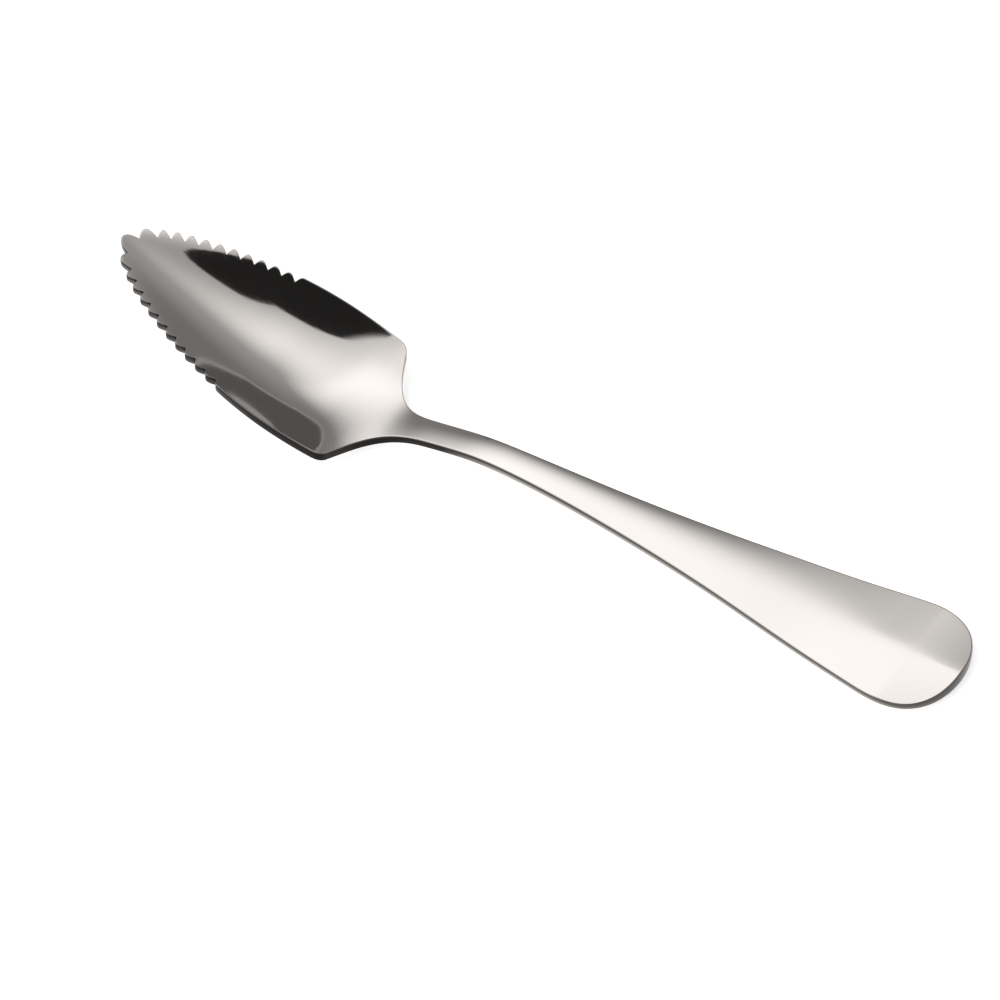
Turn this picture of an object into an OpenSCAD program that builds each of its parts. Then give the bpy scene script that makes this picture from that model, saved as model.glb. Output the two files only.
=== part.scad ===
// Grapefruit spoon pressed from one blank: a trough bowl with a serrated rim, and a flared handle.
// The blank is drawn as two regions that meet at the neck. X runs from the tip to the handle's end,
// Y across, Z up. The spoon lies on its heel and on the end of its handle, with the tip raised.
// In the functions below, x is the distance from the tip and y the distance from the middle line.

/* [Spoon] */
// Length from the tip of the bowl to the end of the handle
spoon_l = 154; // [140:1:170]
// Bevel along every edge of the blank
edge_bevel = 0.2; // [0.1:0.05:0.3]

/* [Bowl] */
// Greatest width of the bowl
bowl_w = 28; // [25:0.5:33]
// Distance from the tip to the widest place
bowl_wide_l = 34.5; // [32:0.5:38]
// Distance from the tip to the shoulder corners
bowl_l = 44.5; // [42.5:0.5:46.5]
// Width across the shoulder corners
shoulder_w = 26.8; // [23:0.2:30]
// Length of the rounding of a shoulder corner
corner_l = 1.5; // [0.8:0.1:2.5]
// Height of the tip above the table
tip_h = 17.2; // [15:0.2:20]
// Height of the rim at the shoulder corners
shoulder_h = 3.6; // [3.2:0.1:4.6]
// Sag of the rim between the tip and the shoulder corners, below a straight line
rim_sag_h = 0.35; // [0.1:0.05:0.7]
// Distance from the shoulder corners forward to the heel, where the belly touches the table
heel_ahead_l = 3.5; // [2.5:0.1:4.5]
// Length over which the keel turns level at the heel
heel_bend_l = 21.5; // [18:0.5:26]
// Length over which the trough levels out behind the shoulder corners
run_on_l = 3; // [2:0.1:4]
// Thickness of the sheet at the tip
bowl_t = 1.2; // [0.9:0.05:1.5]
// Thickness of the sheet at the heel
heel_t = 1.7; // [1.4:0.05:2]

/* [Serrated rim] */
// Number of teeth on each side, beside the one at the tip
tooth_n = 11; // [6:1:12]
// Spacing of the teeth along the rim
tooth_pitch = 2.27; // [1.9:0.01:2.4]
// Width of the tooth at the tip
tip_tooth_w = 5.4; // [4.4:0.1:6]
// Width of the first tooth on each side of the tip
lead_tooth_w = 3.5; // [2.4:0.1:4]
// Depth of the gullets beside the tip
tooth_d = 1.4; // [0.9:0.05:1.6]
// Depth of the last gullets
last_tooth_d = 0.9; // [0.6:0.05:1.2]
// Distance by which the points of the teeth stand back from the smooth rim
tooth_setback = 0.15; // [0.05:0.05:0.6]

/* [Neck] */
// Length of the shoulders, from their corners to the narrowest place
shoulder_l = 16; // [14:0.5:20]
// Width of the neck
neck_w = 4.7; // [4:0.1:6]
// Distance from the narrowest place to the crest, the highest place of the handle
crest_back_l = 11.5; // [9:0.5:18]
// Height of the top face at the crest
crest_h = 5.6; // [5:0.1:7]
// Rise of the neck's top face from its edges to its middle
neck_crown_h = 0.15; // [0.05:0.05:0.4]
// Thickness at the neck's edges
neck_edge_t = 1.45; // [1.2:0.05:1.7]

/* [Handle] */
// Width of the handle where its round end begins
handle_w = 20.6; // [16:0.2:24]
// Length of the round end
end_l = 14.5; // [11:0.5:18]
// Thickness at the handle's edges, at the round end
handle_edge_t = 1.2; // [1:0.05:1.4]
// Rise of the handle's top face from its edges to its ridge, at the round end
crown_h = 0.8; // [0.5:0.05:1.2]
// Fall of the underside from its edges to its middle, at the round end
under_crown_h = 0.2; // [0.1:0.05:0.6]

/* [Hidden] */
steel = "#d8d5d1";

// Fullness of the nose: 1 gives an ellipse, more keeps the sides straighter
nose_fullness = 2.7;
// Sweep of the edge from a shoulder corner to the neck
shoulder_sweep = 4.5;
// Reach of a rounded shoulder corner towards the neck, of its length along the side
corner_in_share = 0.3;
// Roundness of the teeth
tooth_roundness = 1.1;
// Squareness of the round end of the handle
end_squareness = 2.75;
// Part of the way from the neck to the round end where the handle's sides turn straight
straight_share = 0.7;
// Rise of the top face from the heel to the crest: [share of the length, share of the height]
rise_shares = [
    [0, 0], [0.13, 0.003], [0.21, 0.013], [0.275, 0.045], [0.355, 0.158], [0.45, 0.348],
    [0.55, 0.533], [0.67, 0.733], [0.775, 0.882], [0.885, 0.971], [1, 1]];
// Fall of the top face from the crest to the handle's end
fall_shares = [[0, 0], [0.21, 0.133], [0.38, 0.328], [0.55, 0.562], [0.71, 0.799], [0.88, 0.88], [1, 1]];
// Easing of the trough's sides towards the rim, at the tip and at the shoulders, and how it fades between
lip_shares = [0.99, 0.01];
lip_fade = 1.7;
// Part of the shoulders over which the trough turns into the handle's section
neck_blend_share = 0.98;
// Roundness of the handle's ridge, of its half width: well rounded at the neck, narrow at the round end
ridge_shares = [2.8, 0.1];
// Crowding of the mesh rows towards the shoulder corners
shoulder_crowding = 1.5;
// Most layers of surface that a line of sight crosses
sight_layers = 6;
// Distance of the mesh rings from the rim to the middle line
ring_shares = [0.15, 0.29, 0.43, 0.57, 0.71, 0.85, 1];
// Fan of the mesh rows at the tip, of the bowl's length, and at the end, of the round end's length
tip_fan_share = 0.2;
end_fan_share = 0.3;
// Steps of the outline
nose_steps = 160;
tip_steps = 4;
tooth_steps = 6;
run_out_steps = 3;
rim_steps = 7;
corner_steps = 3;
shoulder_steps = 12;
side_steps = 18;
end_steps = 14;

heel_l = bowl_l - heel_ahead_l;
neck_l = bowl_l + shoulder_l;
crest_l = neck_l + crest_back_l;
handle_t = handle_edge_t + crown_h + under_crown_h;
round_x = spoon_l - end_l;
straight_x = neck_l + straight_share * (round_x - neck_l);
flare_rate = (handle_w - neck_w) / (straight_x - neck_l + 2 * (round_x - straight_x));

// Helpers
function clamp01(v) = min(1, max(0, v));
function smooth(v) = let (u = clamp01(v)) u * u * (3 - 2 * u);
function span_of(table, x, i = 0) =
    i >= len(table) - 2 || x < table[i + 1].x ? i : span_of(table, x, i + 1);
function slope_at(table, i) =
    i == 0 || i == len(table) - 1 ? 0 :
    (table[i + 1].y - table[i - 1].y) / (table[i + 1].x - table[i - 1].x);
function spline(table, x) =
    let (
        i = span_of(table, x),
        run = table[i + 1].x - table[i].x,
        u = (x - table[i].x) / run,
        rise = table[i + 1].y - table[i].y
    )
    table[i].y + rise * u * u * (3 - 2 * u)
        + run * slope_at(table, i) * u * (1 - u) * (1 - u)
        - run * slope_at(table, i + 1) * u * u * (1 - u);

// Plan outline: half widths
function nose_half(x) =
    let (q = x / bowl_wide_l)
    bowl_w / 2 * sqrt(max(0, (q * (nose_fullness + 1) - pow(q, nose_fullness + 1)) / nose_fullness));
function side_half(x) =
    bowl_w / 2 - (bowl_w - shoulder_w) / 2 * pow((x - bowl_wide_l) / (bowl_l - bowl_wide_l), 2);
function shoulder_half(x) =
    neck_w / 2 + (shoulder_w - neck_w) / 2
        * pow(1 - clamp01((x - bowl_l) / (neck_l - bowl_l)), shoulder_sweep);
function bowl_half(x) =
    x < bowl_wide_l ? nose_half(x) : x < bowl_l ? side_half(x) : shoulder_half(x);
function flare_half(x) =
    neck_w / 2 + flare_rate * (
        x < neck_l ? 0 :
        x < straight_x ? pow(x - neck_l, 2) / (2 * (straight_x - neck_l)) :
        (straight_x - neck_l) / 2 + x - straight_x);
function handle_half(x) =
    flare_half(x) * sqrt(1 - pow(clamp01((x - round_x) / end_l), end_squareness));

// Side view: height of the top face on the middle line, and of the rim
function keel_lift(x) = norm([heel_l - x, heel_bend_l]) - heel_bend_l;
keel_rate = (tip_h - heel_t) / keel_lift(0);
function keel_slope(x) =
    let (left = max(0, heel_l - x))
    -keel_rate * left / norm([left, heel_bend_l]);
function spine_z(x) =
    x < heel_l ? heel_t + keel_rate * keel_lift(x) :
    x < crest_l ? heel_t + (crest_h - heel_t) * spline(rise_shares, (x - heel_l) / (crest_l - heel_l)) :
    crest_h + (handle_t - crest_h) * spline(fall_shares, (x - crest_l) / (spoon_l - crest_l));
function rim_z(x) =
    let (back = x / bowl_l)
    tip_h + (shoulder_h - tip_h) * back - 4 * rim_sag_h * back * (1 - back);
rim_end_slope = (shoulder_h - tip_h + 4 * rim_sag_h) / bowl_l;

// Cross-section of the bowl: a trough whose sides ease off towards the rim
function in_bowl(x) = min(bowl_l, max(edge_bevel, x));
function run_on(x) = run_on_l * (1 - exp(-max(0, x - bowl_l) / run_on_l));
function trough_depth(x) =
    rim_z(in_bowl(x)) - spine_z(in_bowl(x)) + rim_end_slope * run_on(x);
function lip(x) = lip_shares[1] + (lip_shares[0] - lip_shares[1]) * pow(1 - in_bowl(x) / bowl_l, lip_fade);
function trough(x, y) =
    let (out = y / bowl_half(in_bowl(x)))
    trough_depth(x) * ((1 + lip(x)) * pow(out, 2) - lip(x) * pow(out, 4));
function trough_slope(x, y) =
    let (half = bowl_half(in_bowl(x)), out = y / half)
    trough_depth(x) * (2 * (1 + lip(x)) * out - 4 * lip(x) * pow(out, 3)) / half;

// Cross-section of the handle: a bar at the neck, a low roof towards the round end
function along_handle(x) = clamp01((x - neck_l) / (round_x - neck_l));
function crown(x) = neck_crown_h + (crown_h - neck_crown_h) * along_handle(x);
function ridge(x) = ridge_shares[0] + (ridge_shares[1] - ridge_shares[0]) * along_handle(x);
function crown_fall(x, y) =
    crown(x) * (norm([y / flare_half(x), ridge(x)]) - ridge(x)) / (norm([1, ridge(x)]) - ridge(x));
function handle_part(x) = smooth((x - bowl_l) / (neck_blend_share * shoulder_l));

// Top face, and thickness below it
function top_z(x, y) = spine_z(x) + trough(x, y) - (trough(x, y) + crown_fall(x, y)) * handle_part(x);
function sheet_t(x) = bowl_t + (heel_t - bowl_t) * pow(clamp01(x / heel_l), 2);
function sheet_drop(x, y) = sheet_t(x) * sqrt(1 + pow(keel_slope(x), 2) + pow(trough_slope(x, y), 2));
function edge_t(x) = neck_edge_t + (handle_edge_t - neck_edge_t) * along_handle(x);
function bar_drop(x, y) =
    let (half = flare_half(x), in = min(half, abs(y)))
    edge_t(x) + crown(x) - crown_fall(x, in)
        + (handle_t - edge_t(x) - crown(x)) * (1 - pow(in / half, 2));
function bar_part(x) = smooth((x - bowl_l) / shoulder_l);
function drop(x, y) = sheet_drop(x, y) + (bar_drop(x, y) - sheet_drop(x, y)) * bar_part(x);

// Teeth: gullets are cut square to the nose's outline, at places measured along it from the tip
function nose_x(i) = bowl_wide_l * pow(i / nose_steps, 2);
function nose_point(x) = [x, nose_half(x)];
nose_run = [
    for (i = 0, s = 0;
        i <= nose_steps;
        s = s + norm(nose_point(nose_x(i + 1)) - nose_point(nose_x(i))), i = i + 1)
    [s, nose_x(i)]];
function nose_at(s) = lookup(s, nose_run);
function inward(x) =
    let (
        run = pow(bowl_w / 2, 2) * (nose_fullness + 1) / nose_fullness
            * (1 - pow(x / bowl_wide_l, nose_fullness)) / (2 * bowl_wide_l),
        reach = nose_half(x)
    )
    [run, -reach] / norm([run, reach]);
function gullet(k) = tip_tooth_w / 2 + (k == 0 ? 0 : lead_tooth_w + (k - 1) * tooth_pitch);
serrated_l = gullet(tooth_n);
run_out_l = tooth_pitch / 2;
function gullet_d(s) = tooth_d + (last_tooth_d - tooth_d) * min(1, s / serrated_l);
function setback(s) = tooth_setback * min(1, 2 * s / tip_tooth_w);
function notch(v) = 1 - pow(sin(90 * v), tooth_roundness);
function cut_point(s, inset) = let (x = nose_at(s)) nose_point(x) + inward(x) * inset;
function tooth_point(s, v) = cut_point(s, setback(s) + gullet_d(s) * notch(v));

// Rows of the mesh: [point of the rim, place on the middle line where the row ends]
function bowl_hub(x) = x + tip_fan_share * bowl_l * pow(max(0, 1 - x / bowl_l), 2);
function end_hub(x) = x - end_fan_share * end_l * pow(clamp01((x - round_x) / end_l), 2);
smooth_start_x = nose_at(serrated_l + run_out_l);
corner_start_x = bowl_l - corner_l;
corner_end_x = bowl_l + corner_in_share * corner_l;
function corner_point(u) =
    [corner_start_x, bowl_half(corner_start_x)] * (1 - u) * (1 - u)
        + [bowl_l, shoulder_w / 2] * 2 * u * (1 - u)
        + [corner_end_x, bowl_half(corner_end_x)] * u * u;
tip_rows = [
    for (i = [0 : tip_steps - 1])
    let (s = tip_tooth_w / 2 * i / tip_steps)
    [tooth_point(s, 1 - i / tip_steps), bowl_hub(nose_at(s))]];
tooth_rows = [
    for (k = [1 : tooth_n], i = [0 : tooth_steps - 1])
    let (u = i / tooth_steps, s = gullet(k - 1) + (gullet(k) - gullet(k - 1)) * u)
    [tooth_point(s, 1 - abs(2 * u - 1)), bowl_hub(nose_at(s))]];
run_out_rows = [
    for (i = [0 : run_out_steps - 1])
    let (u = i / run_out_steps, s = serrated_l + run_out_l * u)
    [cut_point(s, tooth_setback * (1 - u) + last_tooth_d * notch(u)), bowl_hub(nose_at(s))]];
rim_rows = [
    for (i = [0 : rim_steps - 1])
    let (x = smooth_start_x + (corner_start_x - smooth_start_x) * i / rim_steps)
    [[x, bowl_half(x)], bowl_hub(x)]];
corner_rows = [
    for (i = [0 : corner_steps - 1])
    let (p = corner_point(i / corner_steps))
    [p, bowl_hub(p.x)]];
shoulder_rows = [
    for (i = [0 : shoulder_steps])
    let (x = corner_end_x + (neck_l - corner_end_x) * pow(i / shoulder_steps, shoulder_crowding))
    [[x, bowl_half(x)], x]];
bowl_rows = concat(tip_rows, tooth_rows, run_out_rows, rim_rows, corner_rows, shoulder_rows);
end_rows = [
    for (i = [0 : end_steps - 1])
    let (x = round_x + end_l * cos(90 * i / end_steps))
    [[x, handle_half(x)], end_hub(x)]];
side_rows = [
    for (i = [0 : side_steps])
    let (x = round_x + (neck_l - round_x) * i / side_steps)
    [[x, handle_half(x)], x]];
handle_rows = concat(end_rows, side_rows);

// Plan points of one row, each with the height that the bevel takes off there
function half_row(row) =
    let (hub = [row[1], 0], reach = norm(hub - row[0]))
    [for (share = concat([0, edge_bevel / reach], ring_shares))
        let (p = row[0] + (hub - row[0]) * share)
        [p.x, p.y, share == 0 ? edge_bevel : 0]];
function full_row(row) =
    let (far = half_row(row))
    concat(far, [for (j = [len(far) - 2 : -1 : 0]) [far[j].x, -far[j].y, far[j].z]]);
function placed(p, z) = [p.x - spoon_l / 2, p.y, z];

// One region of the blank: its first row runs along the middle line, its last row is the cut at the neck
module region(rows, mirrored) {
    last = len(rows) - 1;
    middle = len(ring_shares) + 1;
    across = 2 * middle;
    plan = concat(half_row(rows[0]), [for (i = [1 : last]) each full_row(rows[i])]);
    under = len(plan);
    function at(i, j) =
        i == 0 ? (j <= middle ? j : across - j) :
        middle + 1 + (i - 1) * (across + 1) + j;
    quads = concat(
        [for (i = [0 : last - 1], j = [0 : across - 1])
            [at(i, j), at(i + 1, j), at(i + 1, j + 1), at(i, j + 1)]],
        [for (i = [0 : last - 1], j = [0 : across - 1])
            [under + at(i, j), under + at(i, j + 1), under + at(i + 1, j + 1), under + at(i + 1, j)]],
        [for (i = [0 : last - 1])
            [at(i + 1, 0), at(i, 0), under + at(i, 0), under + at(i + 1, 0)]],
        [for (i = [0 : last - 1])
            [at(i, across), at(i + 1, across), under + at(i + 1, across), under + at(i, across)]],
        [for (j = [0 : across - 1])
            [at(last, j + 1), at(last, j), under + at(last, j), under + at(last, j + 1)]]);
    polyhedron(
        points = concat(
            [for (p = plan) placed(p, top_z(p.x, p.y) - p.z)],
            [for (p = plan) placed(p, top_z(p.x, p.y) - drop(p.x, p.y) + p.z)]),
        faces = [for (q = quads)
            each (mirrored
                ? [[q[0], q[2], q[1]], [q[0], q[3], q[2]]]
                : [[q[0], q[1], q[2]], [q[0], q[2], q[3]]])],
        convexity = sight_layers);
}

module bowl() {
    color(steel)
    region(bowl_rows, false);
}

module handle() {
    color(steel)
    region(handle_rows, true);
}

bowl();
handle();
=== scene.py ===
import math

import bpy
import numpy as np
from bpy.props import FloatProperty, FloatVectorProperty, IntProperty, PointerProperty
from mathutils import Matrix, Vector


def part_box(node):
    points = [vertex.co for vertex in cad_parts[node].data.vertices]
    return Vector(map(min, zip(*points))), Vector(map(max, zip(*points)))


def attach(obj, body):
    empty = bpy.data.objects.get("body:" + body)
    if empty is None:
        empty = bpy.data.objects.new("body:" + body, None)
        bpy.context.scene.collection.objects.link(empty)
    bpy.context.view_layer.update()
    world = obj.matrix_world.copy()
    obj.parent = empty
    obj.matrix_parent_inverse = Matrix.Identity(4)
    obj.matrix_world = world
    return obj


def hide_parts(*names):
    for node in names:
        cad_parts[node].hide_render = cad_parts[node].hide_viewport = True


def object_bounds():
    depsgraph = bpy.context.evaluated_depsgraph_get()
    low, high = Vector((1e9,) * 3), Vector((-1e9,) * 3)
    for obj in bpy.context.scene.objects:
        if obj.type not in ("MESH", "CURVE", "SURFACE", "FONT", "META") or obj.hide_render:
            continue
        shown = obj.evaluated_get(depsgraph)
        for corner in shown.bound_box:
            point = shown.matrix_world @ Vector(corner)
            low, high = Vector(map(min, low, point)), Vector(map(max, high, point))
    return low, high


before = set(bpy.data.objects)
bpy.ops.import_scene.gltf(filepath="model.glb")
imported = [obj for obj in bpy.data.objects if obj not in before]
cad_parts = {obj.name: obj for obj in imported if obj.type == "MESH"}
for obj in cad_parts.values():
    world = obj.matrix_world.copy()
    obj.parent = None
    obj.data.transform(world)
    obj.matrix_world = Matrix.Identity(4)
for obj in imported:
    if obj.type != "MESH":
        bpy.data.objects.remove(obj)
CAD_LOW, CAD_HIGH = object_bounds()
BOWL_LOW, BOWL_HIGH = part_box("bowl")

bl_info = {
    "name": "Grapefruit spoon",
    "version": (1, 0, 0),
    "blender": (4, 5, 0),
    "location": "View3D > Sidebar > Spoon",
    "description": "Punches and presses a serrated grapefruit spoon, and sets the studio round it",
    "category": "Add Mesh",
}

MM = 0.001

# Powers and shares of the plan outline
NOSE_FULLNESS = 2.7
SHOULDER_SWEEP = 4.5
CORNER_IN_SHARE = 0.3
END_SQUARENESS = 2.75
STRAIGHT_SHARE = 0.7
# Side view from the heel to the crest and on to the handle's end: shares of the length and of the height
RISE_SHARES = ((0, 0), (0.13, 0.003), (0.21, 0.013), (0.275, 0.045), (0.355, 0.158), (0.45, 0.348), (0.55, 0.533),
               (0.67, 0.733), (0.775, 0.882), (0.885, 0.971), (1, 1))
FALL_SHARES = ((0.21, 0.133), (0.38, 0.328), (0.55, 0.562), (0.71, 0.799), (0.88, 0.88), (1, 1))
# How far the trough's sides ease off at the rim, at the tip and at the shoulders, and how fast that fades
LIP_SHARES = (0.99, 0.01)
LIP_POWER = 1.7
# Share of the way to the neck in which the trough turns into the handle
NECK_BLEND_SHARE = 0.98
# How round the handle's ridge is, at the neck and at the round end
RIDGE_SHARES = (2.8, 0.1)
# Extra slope of the round end's two sides, and the share of that end over which it comes on
END_ROLL = 0.06
END_ROLL_SHARE = 0.62
# How far the rows at the tip and the end lean inwards on the middle line, as shares of the bowl and the round end
TIP_FAN_SHARE = 0.2
END_FAN_SHARE = 0.3
# How far the painted dark reflection of the edges reaches round to the underside: at the tip, the widest place of
# the bowl, the neck, the crest, the start of the round end, and the end
UNDER_REFLECTION_PAINT = (0.7, 1, 1, 0.35, 0.4, 0.9)

# Steps of the mesh along the rim, across a half of the blank and round its edge
TIP_STEPS = 10
TOOTH_STEPS = 16
RUN_OUT_STEPS = 8
RIM_STEPS = 24
CORNER_STEPS = 12
SHOULDER_STEPS = 44
SIDE_STEPS = 90
END_STEPS = 36
RING_STEPS = 30
EDGE_STEPS = 5
NOSE_STEPS = 4000
# Powers that crowd the rows behind the shoulder corners, and the rings near the rim
SHOULDER_CROWDING = 1.5
RING_CROWDING = 1.3
# Distance of the outermost ring from the rim, in edge radii
EDGE_STRIP = 1.5


def length(name, description, default):
    """A size in metres that a user can change."""
    return FloatProperty(name=name, description=description, default=default,
                         unit="LENGTH", subtype="DISTANCE", precision=5)


def angle(name, description, degrees):
    """An angle that a user can change."""
    return FloatProperty(name=name, description=description, default=math.radians(degrees), subtype="ANGLE")


def hex_colour(name, description, text):
    """A colour that a user can change, written as an sRGB hex value."""
    return FloatVectorProperty(name=name, description=description, default=linear(text),
                               subtype="COLOR", size=4, min=0, max=1)


def linear(text):
    """Linear red, green, blue and alpha of an sRGB hex value."""
    shares = [int(text[i:i + 2], 16) / 255 for i in (1, 3, 5)]
    return (*(s / 12.92 if s <= 0.04045 else ((s + 0.055) / 1.055) ** 2.4 for s in shares), 1)


class BlankSizes(bpy.types.PropertyGroup):
    """Sizes of the pressed blank, along it from the tip of the bowl"""

    spoon_l: length("Spoon length", "From the tip to the end of the handle", CAD_HIGH.x - CAD_LOW.x)
    edge_round: length("Edge rounding", "Radius of the tumbled edges", 0.22 * MM)
    bowl_w: length("Bowl width", "Greatest width of the bowl", BOWL_HIGH.y - BOWL_LOW.y)
    bowl_wide_l: length("Widest place", "From the tip to the widest place", 34.5 * MM)
    bowl_l: length("Bowl length", "From the tip to the shoulder corners", 44.5 * MM)
    shoulder_w: length("Shoulder width", "Across the shoulder corners", 26.8 * MM)
    corner_l: length("Corner rounding", "Length of the rounding of a shoulder corner", 1.5 * MM)
    tip_h: length("Tip height", "Height of the tip above the table", 17.18 * MM)
    shoulder_h: length("Shoulder height", "Height of the rim at the shoulders", 3.6 * MM)
    rim_sag_h: length("Rim sag", "Sag of the rim below a straight line", 0.35 * MM)
    heel_l: length("Heel", "From the tip to where the belly touches the table", 41 * MM)
    heel_bend_l: length("Heel bend", "Length over which the keel turns level at the heel", 21.5 * MM)
    run_on_l: length("Run-on", "Length over which the trough levels out behind the shoulders", 3 * MM)
    bowl_t: length("Tip thickness", "Thickness of the sheet at the tip", 1.2 * MM)
    heel_t: length("Heel thickness", "Thickness of the sheet at the heel", 1.7 * MM)
    neck_l: length("Neck", "From the tip to the narrowest place", BOWL_HIGH.x - BOWL_LOW.x)
    neck_w: length("Neck width", "Width of the neck", 4.7 * MM)
    crest_l: length("Crest", "From the tip to the highest place of the handle", 72 * MM)
    crest_h: length("Crest height", "Height of the top face there", 5.6 * MM)
    handle_w: length("Handle width", "Width where the round end begins", 20.6 * MM)
    end_l: length("Round end", "Length of the round end", 14.5 * MM)
    neck_edge_t: length("Neck edge", "Thickness at the neck's edges", 1.45 * MM)
    handle_edge_t: length("Handle edge", "Thickness at the handle's edges, at the round end", 1.2 * MM)
    neck_crown_h: length("Neck crown", "Rise of the neck's top face to its middle", 0.15 * MM)
    crown_h: length("Ridge", "Rise of the handle's top face to its ridge", 0.8 * MM)
    under_crown_h: length("Under crown", "Fall of the underside to its middle", 0.2 * MM)


class ToothSizes(bpy.types.PropertyGroup):
    """Sizes of the teeth that are punched in the front of the rim"""

    count: IntProperty(name="Teeth", description="On each side, beside the one at the tip", default=11)
    pitch: length("Spacing", "Spacing of the teeth along the rim", 2.27 * MM)
    tip_w: length("Tip tooth", "Width of the tooth at the tip", 5.4 * MM)
    lead_w: length("Lead teeth", "Width of the first tooth on each side", 3.5 * MM)
    depth: length("Depth", "Depth of the gullets beside the tip", 1.4 * MM)
    last_depth: length("Last depth", "Depth of the last gullets", 0.9 * MM)
    setback: length("Set back", "Distance of the points behind the smooth rim", 0.15 * MM)
    roundness: FloatProperty(name="Roundness", description="Roundness of the teeth", default=1.1)


class SteelFinish(bpy.types.PropertyGroup):
    """Looks of the polished steel"""

    colour: hex_colour("Steel", "Colour of the polished steel", "#d9d4d0")
    # Painted dark reflections on the edges, in place of the pale floor that the polished edges would mirror: nearly
    # black at the bowl and the neck, mid-grey at the handle's end
    edge_reflection_colour: hex_colour("Edge", "Colour of the sheared edges of the bowl and the neck", "#211f1e")
    end_reflection_colour: hex_colour("Handle edge", "Colour of the sheared edge at the end of the handle", "#4c4946")
    roughness: FloatProperty(name="Roughness", description="Blur of the reflections", default=0.06,
                             subtype="FACTOR", min=0, max=1)
    line_gap: length("Polishing lines", "Spacing of the fine lengthwise lines", 0.35 * MM)
    line_l: length("Line length", "Length of a polishing line", 25 * MM)


class StudioSettings(bpy.types.PropertyGroup):
    """Camera, lamps and cards round the spoon"""

    azimuth: angle("Azimuth", "Turn of the camera about the vertical", 32.413)
    elevation: angle("Elevation", "Height of the camera over the horizon", 48.755)
    roll: angle("Roll", "Turn of the camera about its own axis", -1.348)
    lens: FloatProperty(name="Lens", description="Focal length in millimetres", default=1200)
    light_distance: length("Light distance", "From the spoon to the softboxes", 6)
    side_azimuth: angle("Side azimuth", "Place of the wide softbox round the spoon", 203.7)
    side_elevation: angle("Side elevation", "Place of the wide softbox over the horizon", 51.4)
    side_turn: angle("Side turn", "Turn of the wide softbox in its own plane", -39.4)
    side_w: length("Side width", "Width of the wide softbox", 38.4)
    side_l: length("Side length", "Length of the wide softbox", 11.8)
    side_level: FloatProperty(name="Side level", description="Radiance at the softbox's middle", default=1.28)
    main_azimuth: angle("Main azimuth", "Place of the overhead softbox round the spoon", 43.4)
    main_elevation: angle("Main elevation", "Place of the overhead softbox over the horizon", 72.3)
    main_turn: angle("Main turn", "Turn of the overhead softbox in its own plane", -45.8)
    main_w: length("Main width", "Width of the overhead softbox", 8.6)
    main_l: length("Main length", "Length of the overhead softbox", 5.42)
    main_level: FloatProperty(name="Main level", description="Radiance at the softbox's middle", default=0.866)
    back_azimuth: angle("Back azimuth", "Place of the far softbox round the spoon", 77.9)
    back_elevation: angle("Back elevation", "Place of the far softbox over the horizon", 51.5)
    back_turn: angle("Back turn", "Turn of the far softbox in its own plane", -55.4)
    back_w: length("Back width", "Width of the far softbox", 8.16)
    back_l: length("Back length", "Length of the far softbox", 18.1)
    back_level: FloatProperty(name="Back level", description="Radiance at the softbox's middle", default=0.224)
    left_level: FloatProperty(name="Left level", description="Radiance of the tent beyond the bowl", default=0.264)
    right_level: FloatProperty(name="Right level", description="Radiance of the tent beyond the handle", default=0.17)
    near_level: FloatProperty(name="Near level", description="Radiance that the near side adds", default=0.45)
    floor_w: length("Floor", "Width and length of the floor", 20)
    floor_lift: FloatProperty(name="Floor lift", description="Light that whitens the floor in view", default=0.6)
    card_h: length("Opening height", "Height of the dark opening that the camera looks through", 3)
    board_y: length("Board distance", "From the spoon to the grey board on the far side", 3)
    board_frame: length("Board frame", "Width of the board's pale frame", 0.05)


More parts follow.
